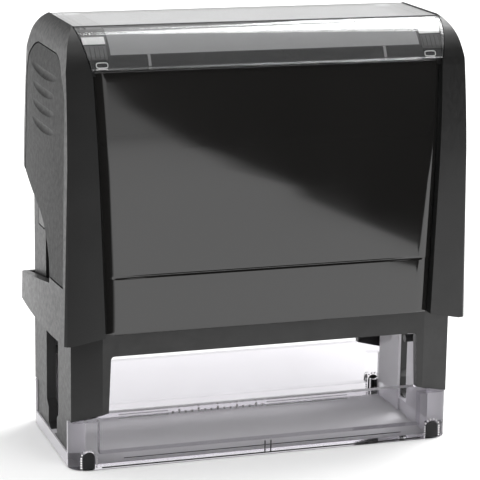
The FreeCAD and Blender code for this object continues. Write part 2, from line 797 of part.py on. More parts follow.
def grip_body(name, sign, shrink):
    """What stands outside the pocket's floor within the grip panel's outline."""
    outline = grip_outline(as_dim(shrink))
    block = end_prism(name + "_block", sign, outline, D["cap_top_in_x"] - PAST, D["cap_end_x"] + PAST * 2)
    return cut(name + "_pad", block, [cap_ends(name + "_floor", D["grip_thick"])])


def cap_shell():
    form = cap_form("cap_form")
    middle = between_blocks(
        "cap_middle", 0, D["cap_foot_in"] - PAST * 6, -DEEP - PAST * 2, DEEP + PAST * 2,
    )
    sunk = cut("cap_sunk", middle, [cap_layer("cap_middle_form", D["recess"])])
    cutters = [cap_cavity(), sunk]
    cutters.append(panel_room("front_room", 0, -DEEP, -D["inner_top_y"] - PAST))
    rear_room = panel_room("rear_room", 0, D["inner_top_y"] + PAST, DEEP)
    cutters.append(rear_room)
    cutters += [notch_cutter(f"notch_{label}", sign) for label, sign in SIDES]
    cutters += [grip_body(f"pocket_{label}", sign, 0) for label, sign in SIDES]
    finish("cap_shell", fuse("cap_all", [cut("cap_cut", form, cutters), rear_band()]))


def end_face(height):
    """The half length at the middle of an end, at a height above the notch."""
    lean = math.tan(math.radians(D["cap_lean"].value))
    leaning = D["cap_end_x"].value - (height - D["cap_foot"].value) * lean
    start = Vector(D["end_x"].value, D["end_z"].value, 0)
    end = Vector(D["cheek_x"].value, D["cheek_z"].value, 0)
    centre = arc_between(start, end, D["cheek_r"].value).Center
    curving = centre.x + math.sqrt(D["cheek_r"].value ** 2 - (height - centre.y) ** 2)
    return min(leaning, curving)


def groove_ring(name, sign, height):
    """A large leaning ring that scoops one crescent out of the end's face."""
    ring = doc.addObject("Part::Torus", name)
    bind(ring, "Radius1", D["rib_ring"])
    bind(ring, "Radius2", D["rib_tube"])
    tilt = math.radians(D["rib_tilt"].value)
    reach = D["rib_ring"] * math.cos(tilt) + D["rib_tube"]
    x = (reach + end_face(height.value) - D["grip_sunk"] - D["rib_deep"]) * sign
    turn = Rotation(Vector(0, 1, 0), -D["rib_tilt"].value * sign)
    return place(ring, x, 0, height + D["rib_ring"] * math.sin(tilt), turn)


def grip_panels():
    for label, sign in SIDES:
        low = common(f"grip_{label}_low", [
            grip_body(f"grip_{label}", sign, D["gap"]),
            cap_ends(f"grip_{label}_face", D["grip_sunk"]),
            cap_form(f"grip_{label}_form"),
        ])
        tools = [notch_cutter(f"grip_{label}_notch", sign)]
        for index in range(4):
            height = D["rib_foot_z"] + D["rib_step"] * index
            tools.append(groove_ring(f"grip_{label}_groove_{index}", sign, height))
        finish(f"grip_panel_{label}", cut(f"grip_{label}_cut", low, tools))


def glossy_panel(name, front):
    """A thin skin between the blocks with a raised face and one groove."""
    y0, y1 = (-DEEP, -D["inner_top_y"] - PAST) if front else (D["inner_top_y"] + PAST, DEEP)
    skin_out = D["skin"] - D["panel_skin"]
    foot = D["cap_foot_in"] if front else D["rear_open_top"]
    skin = common(name + "_skin", [
        cap_layer(name + "_outer", skin_out),
        panel_room(name + "_room", 0, y0, y1),
        box(name + "_span", (-FAR, -DEEP, foot), (FAR, DEEP, D["panel_top"])),
    ])
    raised_foot = D["plateau_foot_z"] if front else foot
    raised = common(name + "_raised", [
        cap_layer(name + "_face", skin_out - D["plateau"]),
        prism(name + "_face_room", "XZ", both_ends([
            (D["plateau_foot_x"], raised_foot),
            (D["plateau_top_x"], D["panel_top"]),
        ]), y0, y1),
    ])
    tools = [cap_layer(name + "_inner", D["skin"])]
    if front:
        tools.append(box(
            name + "_groove",
            (-D["groove_x"], -DEEP, D["groove_z"]),
            (D["groove_x"], -D["cap_y"] + D["recess"], D["groove_z"] + D["groove_w"]),
        ))
    finish(name, cut(name + "_cut", fuse(name + "_sum", [skin, raised]), tools))


def rear_band():
    """The strip under the cartridge's way out."""
    strip = common("rear_band_strip", [
        cap_layer("rear_band_outer", D["recess"]),
        panel_room("rear_band_room", 0, D["inner_top_y"], DEEP),
        box("rear_band_span", (-FAR, 0, D["cap_foot_in"]), (FAR, DEEP, D["rear_open_foot"])),
    ])
    return cut("rear_band", strip, [cap_layer("rear_band_inner", D["skin"])])


def index_window():
    sunk = D["lens_sunk"]
    outer = common("lens_outer", [
        cap_layer("lens_form", sunk),
        between_blocks("lens_room", D["lens_side"], D["cap_foot_in"], -DEEP, DEEP),
        box("lens_span", (-FAR, -DEEP, D["panel_top"] + D["gap"]), (FAR, DEEP, D["cap_top"])),
    ])
    finish("index_window", cut("lens_cut", outer, [cap_layer("lens_hollow", sunk + D["lens"])]))
    bent = common("card_bent", [
        cap_layer("card_outer", D["recess"] - D["card"], D["card_x"]),
        box("card_span", (-FAR, -DEEP, D["card_foot"]), (FAR, DEEP, D["cap_top"])),
    ])
    finish("index_card", cut("card_cut", bent, [cap_layer("card_inner", D["recess"])]))


# ---------------------------------------------------------------- yoke, springs, turning gear

def yoke_arm(name, sign):
    outline = both_ends([
        (D["arm_boss"], D["axle_z"]),
        (D["arm_y"], D["axle_z"] + D["arm_rise"]),
        (D["arm_y"], D["roof_in"]),
    ])
    arm = end_prism(name + "_blade", sign, outline, D["arm_in_x"], D["arm_out_x"])
    boss = end_cylinder(name + "_boss", sign, D["arm_boss"], D["arm_in_x"], D["arm_out_x"], 0, D["axle_z"])
    hole = end_cylinder(
        name + "_hole", sign, D["pin_r"] + D["pin_fit"],
        D["arm_in_x"] - PAST, D["arm_out_x"] + PAST, 0, D["axle_z"],
    )
    return cut(name, fuse(name + "_sum", [arm, boss]), [hole])


def yoke():
    bar = box(
        "yoke_bar",
        (-D["arm_in_x"] - PAST, -D["arm_y"], D["bar_z"]),
        (D["arm_in_x"] + PAST, D["arm_y"], D["roof_in"]),
    )
    arms = [yoke_arm(f"arm_{label}", sign) for label, sign in SIDES]
    finish("yoke", fuse("yoke_all", [bar] + arms))


def return_springs():
    for label, sign in SIDES:
        helix = doc.addObject("Part::Helix", f"helix_{label}")
        span = D["bar_z"] - D["frame_top"] - D["wire_r"] * 2
        bind(helix, "Radius", D["coil_r"])
        bind(helix, "Height", span)
        bind(helix, "Pitch", span / D["coils"])
        place(helix, D["spring_x"] * sign, 0, D["frame_top"] + D["wire_r"])
        wire = doc.addObject("Part::Circle", f"wire_{label}")
        bind(wire, "Radius", D["wire_r"])
        turn = Rotation(Vector(1, 0, 0), 90)
        place(wire, D["spring_x"] * sign + D["coil_r"], 0, D["frame_top"] + D["wire_r"], turn)
        coil = doc.addObject("Part::Sweep", f"coil_{label}")
        coil.Sections = [wire]
        coil.Spine = (helix, [])
        coil.Solid = True
        coil.Frenet = True
        finish(f"return_spring_{label}", coil)
    finish("spring_guides", fuse("guides_all", [
        cylinder(f"guide_{label}", D["guide_r"], D["guide_z"], (D["spring_x"] * sign, 0, D["frame_top"]))
        for label, sign in SIDES
    ]))


def flip_guides():
    """Fixed pins half way down the travel, either side of the cam's path."""
    pins = []
    for label, sign in SIDES:
        for side, sign_y in DEPTHS:
            pins.append(end_cylinder(
                f"turn_pin_{side}_{label}", sign, D["guide_pin_r"],
                D["mount_x"] + D["gap"], D["frame_x"] - D["end_wall"],
                D["guide_pin_y"] * sign_y, turning_height(),
            ))
    finish("flip_guides", fuse("turn_pins", pins))


# ---------------------------------------------------------------- die

def above_axle(height):
    return D["axle_z"] + height


def die_mount():
    plate = box(
        "mount_plate",
        (-D["mount_x"], -D["die_y"], above_axle(D["mount_lo"])),
        (D["mount_x"], D["die_y"], above_axle(D["mount_hi"])),
    )
    parts = [plate]
    for label, sign in SIDES:
        parts.append(end_box(
            f"mount_end_{label}", sign, D["mount_x"] - D["cheek_w"], D["mount_x"],
            (-D["cheek_y"], above_axle(-D["mount_lo"])),
            (D["cheek_y"], above_axle(D["mount_hi"])),
        ))
    for side, sign_y in DEPTHS:
        y = D["mount_rib_y"] * sign_y
        parts.append(box(
            f"mount_rib_{side}",
            (-D["mount_x"], y - D["mount_rib"], above_axle(-D["mount_lo"])),
            (D["mount_x"], y + D["mount_rib"], above_axle(D["mount_lo"])),
        ))
    holes = [
        end_cylinder(f"mount_hole_{label}", sign, D["pin_r"],
                     D["mount_x"] - D["cheek_w"] - PAST, D["mount_x"] + PAST, 0, D["axle_z"])
        for label, sign in SIDES
    ]
    finish("die_mount", cut("mount_cut", fuse("mount_sum", parts), holes))


def die_layers():
    finish("die_cushion", box(
        "cushion_block",
        (-D["die_x"], -D["die_y"], above_axle(D["mount_hi"])),
        (D["die_x"], D["die_y"], above_axle(D["cushion_hi"])),
    ))
    ground = box(
        "plate_ground",
        (-D["die_x"], -D["die_y"], above_axle(D["cushion_hi"])),
        (D["die_x"], D["die_y"], above_axle(D["plate_hi"])),
    )
    # Plain bars of different lengths stand for whatever the owner's plate prints.
    bars = []
    for index, share in enumerate(BAR_SHARES):
        y = D["bar_step"] * (index - (len(BAR_SHARES) - 1) / 2)
        bars.append(box(
            f"plate_bar_{index}",
            (-D["die_x"] * share, y - D["bar_half_width"], above_axle(D["plate_hi"])),
            (D["die_x"] * share, y + D["bar_half_width"], above_axle(D["relief_hi"])),
        ))
    finish("text_plate", fuse("plate_all", [ground] + bars))


def turning_cam(name, sign):
    disc = end_cylinder(name + "_disc", sign, D["cam_r"], D["mount_x"], D["cam_out_x"], 0, D["axle_z"])
    tools = [end_cylinder(
        name + "_bore", sign, D["pin_r"], D["mount_x"] - PAST, D["cam_out_x"] + PAST, 0, D["axle_z"],
    )]
    for side, sign_y in DEPTHS:
        tools.append(end_cylinder(
            f"{name}_{side}", sign, D["guide_pin_r"] + D["gap"],
            D["mount_x"] - PAST, D["cam_out_x"] + PAST, D["cam_r"] * sign_y, D["axle_z"],
        ))
    return cut(name, disc, tools)


def turning_gear():
    finish("flip_cams", sides("cams", turning_cam))
    finish("pivot_pins", sides("pins", lambda name, sign: end_cylinder(
        name, sign, D["pin_r"], D["mount_x"] - D["cheek_w"], D["pin_out_x"], 0, D["axle_z"])))


# ---------------------------------------------------------------- cartridge and buttons

def cartridge():
    body = box(
        "tray_block",
        (-D["tray_x"], -D["tray_front_y"], D["tray_foot"]),
        (D["tray_x"], D["tray_rear_y"], D["tray_top"]),
    )
    tools = [box(
        "tray_room",
        (-D["pad_x"], -D["pad_y"], D["tray_foot"] - PAST),
        (D["pad_x"], D["pad_y"], D["pad_top"]),
    )]
    for label, sign in SIDES:
        tools.append(end_box(
            f"tray_groove_{label}", sign, D["rail_x"] - D["gap"], D["tray_x"] + PAST,
            (-FAR, D["rail_lo"] - D["gap"]), (FAR, D["rail_hi"] + D["gap"]),
        ))
    finish("cartridge_tray", cut("tray_cut", body, tools))
    finish("ink_pad", box(
        "pad_block",
        (-D["pad_x"], -D["pad_y"], D["pad_z"]),
        (D["pad_x"], D["pad_y"], D["pad_top"]),
    ))
    finish("cartridge_grip", box(
        "grip_block",
        (-D["tray_x"] + PAST * 2, D["tray_rear_y"], D["tray_foot"]),
        (D["tray_x"] - PAST * 2, D["grip_rear_y"], D["tray_top"]),
    ))


def lock_buttons():
    for label, sign in SIDES:
        finish(f"lock_button_{label}", end_box(
            f"lock_block_{label}", sign, D["lock_in_x"], D["frame_x"],
            (D["lock_y"] - D["lock_w"] / 2, D["lock_z"] - D["lock_tall"] / 2),
            (D["lock_y"] + D["lock_w"] / 2, D["lock_z"] + D["lock_tall"] / 2),
        ))


# ---------------------------------------------------------------- build, check and write

def check(name, obj):
    """Stop at the first object that did not come out as a valid shape."""
    shape = obj.Shape
    bad = [word for word in obj.State if word in ("Invalid", "Error")]
    if bad or shape.isNull() or not shape.isValid() or shape.Volume <= 0:
        raise RuntimeError(f"{name} is not a valid shape: {obj.State}")
    return shape


frame_housing()
clear_base()
cap_shell()
glossy_panel("front_panel", True)
glossy_panel("rear_panel", False)
grip_panels()
index_window()
yoke()
return_springs()
flip_guides()
die_mount()
die_layers()
turning_gear()
cartridge()
lock_buttons()
doc.recompute()

for obj in doc.Objects:
    if "Invalid" in obj.State or "Error" in obj.State:
        raise RuntimeError(f"{obj.Name} did not recompute: {obj.State}")

os.makedirs("parts", exist_ok=True)
for name, obj in nodes:
    shape = check(name, obj)
    shape.exportStep(f"parts/{name}.step")
    box_text = [round(v, 2) for v in (
        shape.BoundBox.XMin, shape.BoundBox.XMax, shape.BoundBox.YMin,
        shape.BoundBox.YMax, shape.BoundBox.ZMin, shape.BoundBox.ZMax,
    )]
    print(name, len(shape.Solids), round(shape.Volume, 1), box_text)
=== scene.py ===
import math

import bmesh
import bpy
from mathutils import Matrix, Vector

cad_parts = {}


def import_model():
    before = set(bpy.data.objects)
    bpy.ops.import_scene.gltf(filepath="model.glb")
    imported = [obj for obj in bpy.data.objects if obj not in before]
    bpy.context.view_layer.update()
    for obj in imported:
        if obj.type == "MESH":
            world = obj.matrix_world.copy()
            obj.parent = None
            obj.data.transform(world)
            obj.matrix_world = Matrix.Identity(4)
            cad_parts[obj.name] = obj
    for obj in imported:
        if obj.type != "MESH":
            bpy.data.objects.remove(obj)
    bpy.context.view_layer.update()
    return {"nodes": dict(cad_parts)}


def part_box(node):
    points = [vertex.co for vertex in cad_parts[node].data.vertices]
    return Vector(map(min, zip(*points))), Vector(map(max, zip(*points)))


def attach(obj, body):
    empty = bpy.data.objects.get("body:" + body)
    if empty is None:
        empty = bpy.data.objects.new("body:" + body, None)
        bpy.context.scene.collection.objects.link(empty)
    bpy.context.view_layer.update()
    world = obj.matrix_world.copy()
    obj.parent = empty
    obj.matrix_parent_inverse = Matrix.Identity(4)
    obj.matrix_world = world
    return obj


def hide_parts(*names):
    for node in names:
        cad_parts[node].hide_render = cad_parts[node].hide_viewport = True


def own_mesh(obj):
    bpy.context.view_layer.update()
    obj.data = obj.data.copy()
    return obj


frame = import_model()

# Looks of a self inking stamp. Metres, in the same frame as the CAD: +Z up, front at -Y.

MM = 0.001
SIDES = (("left", -1), ("right", 1))
DEPTHS = (("front", -1), ("back", 1))
YOKE_BAR = 91.3          # underside of the yoke's bar, where the springs push


# ---------------------------------------------------------------- materials

class Surface:
    """A procedural material around one Principled shader."""

    def __init__(self, name, color, roughness):
        self.material = bpy.data.materials.new(name)
        self.material.use_nodes = True
        self.nodes = self.material.node_tree.nodes
        self.links = self.material.node_tree.links
        self.shader = self.nodes["Principled BSDF"]
        self.shader.inputs["Base Color"].default_value = (*color, 1)
        self.shader.inputs["Roughness"].default_value = roughness
        self.place = self.nodes.new("ShaderNodeTexCoord").outputs["Object"]

    def set(self, **values):
        for key, value in values.items():
            self.shader.inputs[key.replace("_", " ")].default_value = value
        return self

    def noise(self, scale, detail=3.0, rough=0.5):
        node = self.nodes.new("ShaderNodeTexNoise")
        node.inputs["Scale"].default_value = scale
        node.inputs["Detail"].default_value = detail
        node.inputs["Roughness"].default_value = rough
        self.links.new(self.place, node.inputs["Vector"])
        return node.outputs["Fac"]

    def span(self, source, low, high, start=0.3, end=0.7):
        node = self.nodes.new("ShaderNodeMapRange")
        node.inputs["From Min"].default_value = start
        node.inputs["From Max"].default_value = end
        node.inputs["To Min"].default_value = low
        node.inputs["To Max"].default_value = high
        self.links.new(source, node.inputs["Value"])
        return node.outputs["Result"]

    def vary_roughness(self, source, low, high):
        self.links.new(self.span(source, low, high), self.shader.inputs["Roughness"])
        return self

    def vary_color(self, source, dark, light, start=0.3, end=0.7):
        ramp = self.nodes.new("ShaderNodeValToRGB")
        ramp.color_ramp.elements[0].position = start
        ramp.color_ramp.elements[0].color = (*dark, 1)
        ramp.color_ramp.elements[1].position = end
        ramp.color_ramp.elements[1].color = (*light, 1)
        self.links.new(source, ramp.inputs["Fac"])
        self.links.new(ramp.outputs["Color"], self.shader.inputs["Base Color"])
        return self

    def bump(self, source, depth, strength=1.0):
        node = self.nodes.new("ShaderNodeBump")
        node.inputs["Strength"].default_value = strength
        node.inputs["Distance"].default_value = depth
        self.links.new(source, node.inputs["Height"])
        self.links.new(node.outputs["Normal"], self.shader.inputs["Normal"])
        return self


def grey(value, warmth=0.0):
    return (value * (1 + warmth), value, value * (1 - warmth))


def grained_plastic(name, shade, roughness, grain, depth):
    """Moulded plastic with a spark-eroded grain and slightly uneven gloss."""
    made = Surface(name, grey(shade, 0.01), roughness)
    cloudy = made.noise(140, 2)
    made.vary_color(cloudy, grey(shade * 0.90, 0.01), grey(shade * 1.10, 0.01))
    made.vary_roughness(made.noise(900, 2), roughness - 0.05, roughness + 0.07)
    made.bump(made.noise(grain, 2, 0.6), depth)
    return made.material


def glossy_plastic(name, shade):
    """Polished plastic: a clear coat over near black, with the faint waviness of a moulding."""
    made = Surface(name, grey(shade, 0.04), 0.08)
    made.vary_roughness(made.noise(60, 2), 0.06, 0.10)
    made.vary_color(made.noise(25, 1), grey(shade * 0.85, 0.04), grey(shade * 1.15, 0.04))
    made.set(IOR=1.45, Coat_Weight=1.0, Coat_Roughness=0.03, Coat_IOR=1.45)
    made.bump(made.noise(45, 1), 0.006 * MM)
    return made.material


def clear_plastic(name, tint, roughness, ior):
    """Clear moulded plastic, faintly cloudy and faintly uneven."""
    made = Surface(name, tint, roughness)
    made.set(Transmission_Weight=1.0, IOR=ior)
    made.vary_color(made.noise(70, 2), tuple(0.97 * c for c in tint), tint)
    made.vary_roughness(made.noise(300, 2), max(roughness - 0.015, 0.0), roughness + 0.02)
    made.bump(made.noise(40, 1), 0.01 * MM)
    return made


def milky_uprights(made, wall_top, half_length, half_depth_inside, clearness):
    """Turn clear plastic milky over the wall's top and inside the ends, where it stands in front
    of the frame. Lengths are in metres."""
    split = made.nodes.new("ShaderNodeSeparateXYZ")
    made.links.new(made.place, split.inputs["Vector"])

    def math_node(operation, first, second=None):
        node = made.nodes.new("ShaderNodeMath")
        node.operation = operation
        for socket, value in zip(node.inputs, (first, second)):
            if isinstance(value, float):
                socket.default_value = value
            elif value is not None:
                made.links.new(value, socket)
        return node.outputs["Value"]

    above = math_node("GREATER_THAN", split.outputs["Z"], wall_top)
    outward = math_node("GREATER_THAN", math_node("ABSOLUTE", split.outputs["X"]), half_length)
    inside = math_node("LESS_THAN", math_node("ABSOLUTE", split.outputs["Y"]), half_depth_inside)
    milky = math_node("MAXIMUM", above, math_node("MULTIPLY", outward, inside))
    amount = made.span(milky, 1.0, clearness, 0.0, 1.0)
    made.links.new(amount, made.shader.inputs["Transmission Weight"])
    return made.material


def steel(name):
    made = Surface(name, grey(0.62), 0.28)
    made.set(Metallic=1.0)
    made.vary_color(made.noise(400, 3), grey(0.50), grey(0.70))
    made.vary_roughness(made.noise(1200, 2), 0.2, 0.36)
    made.bump(made.noise(2500, 2), 0.01 * MM)
    return made.material


def paper(name, shade):
    made = Surface(name, grey(shade), 0.75)
    fibres = made.noise(1500, 5, 0.7)
    made.vary_color(fibres, grey(shade * 0.95), grey(shade * 1.03))
    made.bump(fibres, 0.02 * MM)
    return made.material


def soft_rubber(name, shade, grain=1800):
    made = Surface(name, grey(shade), 0.7)
    made.vary_color(made.noise(300, 3), grey(shade * 0.8), grey(shade * 1.2))
    made.bump(made.noise(grain, 3, 0.7), 0.05 * MM)
    made.set(Specular_IOR_Level=0.3)
    return made.material


def foam(name, shade):
    made = Surface(name, grey(shade), 0.9)
    cells = made.nodes.new("ShaderNodeTexVoronoi")
    cells.inputs["Scale"].default_value = 1600
    made.links.new(made.place, cells.inputs["Vector"])
    made.vary_color(cells.outputs["Distance"], grey(shade * 1.2), grey(shade * 0.5), 0.1, 0.9)
    made.bump(cells.outputs["Distance"], 0.12 * MM)
    return made.material


SHELL = grained_plastic("shell_plastic", 0.010, 0.36, 5200, 0.018 * MM)
GRIP = grained_plastic("grip_plastic", 0.020, 0.60, 3600, 0.05 * MM)
FRAME = grained_plastic("frame_plastic", 0.016, 0.42, 4600, 0.02 * MM)
INNER = grained_plastic("inner_plastic", 0.05, 0.5, 3000, 0.02 * MM)
BUTTON = grained_plastic("button_plastic", 0.08, 0.42, 4600, 0.015 * MM)
TRAY = grained_plastic("tray_plastic", 0.03, 0.38, 4600, 0.015 * MM)
# Near black, for dark parts and also for painted shade: the strips in the window catches and along the
# clear base's foot.
DARK = grained_plastic("dark_plastic_and_painted_shade", 0.006, 0.5, 4600, 0.015 * MM)
PALE = grained_plastic("pale_plastic", 0.85, 0.25, 2600, 0.01 * MM)
MIST = grained_plastic("mist_plastic", 0.28, 0.35, 2600, 0.02 * MM)
GLOSS = glossy_plastic("gloss_plastic", 0.0085)
CLEAR = milky_uprights(
    clear_plastic("smoked_clear", (0.80, 0.785, 0.82), 0.045, 1.22),
    13.2 * MM, 40.8 * MM, 16.0 * MM, 0.3,
)
LENS = clear_plastic("window_clear", (0.95, 0.955, 0.96), 0.012, 1.40).material
CARD = paper("index_paper", 0.34)
STEEL = steel("spring_steel")
FOOT = soft_rubber("foot_rubber", 0.02)
PLATE = soft_rubber("plate_rubber", 0.16, 2600)
CUSHION = foam("cushion_foam", 0.2)
INK = soft_rubber("inked_felt", 0.012, 3200)

NODE_LOOKS = {
    "frame_housing": FRAME,
    "clear_base": CLEAR,
    "rubber_feet": FOOT,
    "spring_guides": FRAME,
    "flip_guides": FRAME,
    "cap_shell": SHELL,
    "front_panel": GLOSS,
    "rear_panel": GLOSS,
    "grip_panel_left": GRIP,
    "grip_panel_right": GRIP,
    "index_card": CARD,
    "yoke": INNER,
    "index_window": LENS,
    "die_mount": INNER,
    "die_cushion": CUSHION,
    "text_plate": PLATE,
    "pivot_pins": STEEL,
    "flip_cams": INNER,
    "cartridge_tray": TRAY,
    "ink_pad": INK,
    "cartridge_grip": TRAY,
    "lock_button_left": BUTTON,
    "lock_button_right": BUTTON,
}


def dress(node, material):
    obj = frame["nodes"][node]
    for index in range(max(1, len(obj.material_slots))):
        if index >= len(obj.data.materials):
            obj.data.materials.append(material)
        else:
            obj.material_slots[index].material = material
    return obj


def round_edges(obj, width, segments=3, angle=28):
    bevel = obj.modifiers.new("rounded_edges", "BEVEL")
    bevel.width = width
    bevel.segments = segments
    bevel.limit_method = "ANGLE"
    bevel.angle_limit = math.radians(angle)
    bevel.harden_normals = True
    bevel.miter_outer = "MITER_ARC"
    return bevel


for node_name, look in NODE_LOOKS.items():
    dress(node_name, look)


# ---------------------------------------------------------------- mesh helpers

def box_of(node):
    """A CAD node's lowest and highest corners at rest, in millimetres."""
    return [[value / MM for value in corner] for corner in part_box(node)]


def mesh_piece(name, verts, faces, material, body, slot, sharp=40):
    """A piece from points in millimetres, smooth except at edges over the sharp angle."""
    mesh = bpy.data.meshes.new(name)
    mesh.from_pydata([Vector(v) * MM for v in verts], [], faces)
    mesh.update()
    mesh.shade_smooth()
    mesh.set_sharp_from_angle(angle=math.radians(sharp))
    obj = bpy.data.objects.new(name, mesh)
    bpy.context.scene.collection.objects.link(obj)
    obj.data.materials.append(material)
    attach(obj, body)
    return obj


def slab(front, back):
    """Points and faces of a closed solid between two grids of the same shape."""
    rows, columns = len(front), len(front[0])
    half = rows * columns
    verts = [p for row in front for p in row] + [p for row in back for p in row]
    faces = []
    for i in range(rows - 1):
        for j in range(columns - 1):
            a = i * columns + j
            quad = (a, a + 1, a + columns + 1, a + columns)
            faces.append(quad)
            faces.append(tuple(half + k for k in reversed(quad)))
    rim = [j for j in range(columns)]
    rim += [i * columns + columns - 1 for i in range(1, rows)]
    rim += [(rows - 1) * columns + j for j in range(columns - 2, -1, -1)]
    rim += [i * columns for i in range(rows - 2, 0, -1)]
    for a, b in zip(rim, rim[1:] + rim[:1]):
        faces.append((b, a, half + a, half + b))
    return verts, faces


def tube(points, radius, closed=False, around=10):
    """Points and faces of a round wire along a line."""
    points = [Vector(p) for p in points]
    count = len(points)
    verts, faces = [], []
    side = None
    for i, centre in enumerate(points):
        before = points[i - 1] if i or closed else centre
        after = points[(i + 1) % count] if i + 1 < count or closed else centre
        along = (after - before).normalized()
        start = side or Vector((0, 0, 1)).cross(along)
        if start.length < 0.01:
            start = Vector((1, 0, 0))
        side = (start - along * start.dot(along)).normalized()
        other = along.cross(side)
        for k in range(around):
            angle = 2 * math.pi * k / around
            verts.append(centre + (side * math.cos(angle) + other * math.sin(angle)) * radius)
    for i in range(count if closed else count - 1):
        for k in range(around):
            a, b = i * around + k, i * around + (k + 1) % around
            c, d = (a + around) % len(verts), (b + around) % len(verts)
            faces.append((a, b, d, c))
    if not closed:
        faces.append(tuple(range(around - 1, -1, -1)))
        faces.append(tuple(range((count - 1) * around, count * around)))
    return verts, faces


def joined(parts):
    """Several lots of points and faces as one."""
    verts, faces = [], []
    for more_verts, more_faces in parts:
        start = len(verts)
        verts += list(more_verts)
        faces += [tuple(start + k for k in face) for face in more_faces]
    return verts, faces


def taken(bm):
    """A bmesh's points and faces; frees the bmesh."""
    verts = [v.co.copy() for v in bm.verts]
    faces = [[v.index for v in f.verts] for f in bm.faces]
    bm.free()
    return verts, faces


def bar(low, high, rounding):
    """Points and faces of a small bar with bevelled edges."""
    bm = bmesh.new()
    bmesh.ops.create_cube(bm, size=1.0)
    for v in bm.verts:
        v.co = Vector([(low[i] + high[i]) / 2 + v.co[i] * (high[i] - low[i]) for i in range(3)])
    bmesh.ops.bevel(bm, geom=bm.edges[:], offset=rounding, segments=2, profile=0.5, affect="EDGES")
    return taken(bm)


def bead(centre, radius):
    """Points and faces of a small ball."""
    bm = bmesh.new()
    bmesh.ops.create_uvsphere(bm, u_segments=12, v_segments=8, radius=radius)
    verts, faces = taken(bm)
    return [Vector(centre) + v for v in verts], faces


# ---------------------------------------------------------------- the cap's end view

# Half depth and height of the points that the cap's front runs through, as in the CAD.
CAP_FOOT, CAP_MID, CAP_BROW, CAP_FLAT = (22.8, 28.3), (22.4, 62.0), (20.2, 87.5), (11.0, 97.6)
BROW_R, CROWN_R = 172.0, 12.6
FLAT_SHARE = 0.6          # how much of an inward offset narrows the flat top


def arc_depth(start, end, radius, z):
    """The half depth at a height on the arc between two points."""
    middle = (Vector(start) + Vector(end)) / 2
    chord = Vector(end) - Vector(start)
    inward = Vector((-chord.y, chord.x)).normalized()
    centre = middle + inward * math.sqrt(radius ** 2 - (chord.length / 2) ** 2)
    return centre.x + math.sqrt(max(radius ** 2 - (z - centre.y) ** 2, 0))


def half_depth(z, offset):
    """The cap's half depth at a height, measured an offset inside its outer form."""
    foot, mid, brow = [(p[0] - offset, p[1]) for p in (CAP_FOOT, CAP_MID, CAP_BROW)]
    flat = (CAP_FLAT[0] - FLAT_SHARE * offset, CAP_FLAT[1] - offset)
    if z <= mid[1]:
        return foot[0] + (mid[0] - foot[0]) * (z - foot[1]) / (mid[1] - foot[1])
    if z <= brow[1]:
        return arc_depth(mid, brow, BROW_R, z)
    return arc_depth(brow, flat, CROWN_R, min(z, flat[1]))


def wrapped(x0, x1, z0, z1, outer, inner):
    """Points and faces of a strip that follows the cap's front between two offsets."""
    rows, columns = 8, 5
    grids = []
    for offset in (outer, inner):
        grid = []
        for i in range(rows):
            z = z0 + (z1 - z0) * i / (rows - 1)
            grid.append([
                (x0 + (x1 - x0) * j / (columns - 1), -half_depth(z, offset), z)
                for j in range(columns)
            ])
        grids.append(grid)
    return slab(*grids)


# ---------------------------------------------------------------- pieces that replace CAD nodes

def glossy_face():
    """The polished front: a crowned face that rolls off into a channel beside each block."""
    low, high = box_of("front_panel")
    z0, z1 = low[2], high[2]
    face, thick = 1.3, 1.4           # the face's offset from the cap's form, and the panel's thickness
    foot_x, top_x = high[0] - 2.06, high[0] - 0.08
    roll_foot, roll_top, roll_slope = 3.7, 2.7, 0.36
    channel, channel_deep = 0.45, 0.3
    groove_z, groove_half, groove_deep = 43.85, 0.42, 0.34
    groove_x, groove_fade = 36.0, 9.0
    lean = 0.14                      # how far the lower band's top leans back
    lip, lip_deep = 0.35, 0.3        # rounding at the panel's top and foot

    def inset(edge, x, z):
        """How far the surface lies behind the face, by its distance from the side edge."""
        share = (z - z0) / (z1 - z0)
        roll = roll_foot + (roll_top - roll_foot) * share
        value = roll_slope * max(roll - edge, 0) ** 2 / (2 * roll)
        value += channel_deep * max(1 - edge / channel, 0) ** 0.5
        if z < groove_z:
            value += lean * ((z - z0) / (groove_z - z0)) ** 2
        reach = min(max((groove_x - abs(x)) / groove_fade, 0), 1) ** 0.5
        value += groove_deep * reach * max(1 - (abs(z - groove_z) / groove_half) ** 2, 0)
        near = min(z - z0, z1 - z)
        return value + lip_deep * max(1 - near / lip, 0) ** 2

    # Columns crowd together at the side edge, and rows at the groove, the top and the foot.
    from_edge = [
        0, 0.08, 0.18, 0.3, 0.45, 0.65, 0.9, 1.2, 1.5, 1.8, 2.1, 2.4, 2.7, 3.0, 3.35, 3.7, 4.3,
        5.5, 7.5, 10, 13, 17, 22, 28,
    ]
    from_end = (0, 0.06, 0.15, 0.25, 0.35)
    heights = {z0 + d for d in from_end} | {z1 - d for d in from_end}
    heights |= {groove_z + groove_half * k / 6 for k in range(-7, 8)}
    step, groove_room = 0.8, 0.7
    heights |= {
        z0 + step * k for k in range(1, int((z1 - z0) / step))
        if abs(z0 + step * k - groove_z) > groove_room
    }
    front, back = [], []
    for z in sorted(heights):
        half = foot_x + (top_x - foot_x) * (z - z0) / (z1 - z0)
        depth = -half_depth(z, face)
        places = [(-half + e, e) for e in from_edge]
        places += [(0.0, half)]
        places += [(half - e, e) for e in reversed(from_edge)]
        front.append([(x, depth + inset(e, x, z), z) for x, e in places])
        back.append([(x, depth + thick, z) for x, e in places])
    piece = mesh_piece("glossy_face", *slab(front, back), GLOSS, "cap", "gloss_black", sharp=50)
    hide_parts("front_panel")


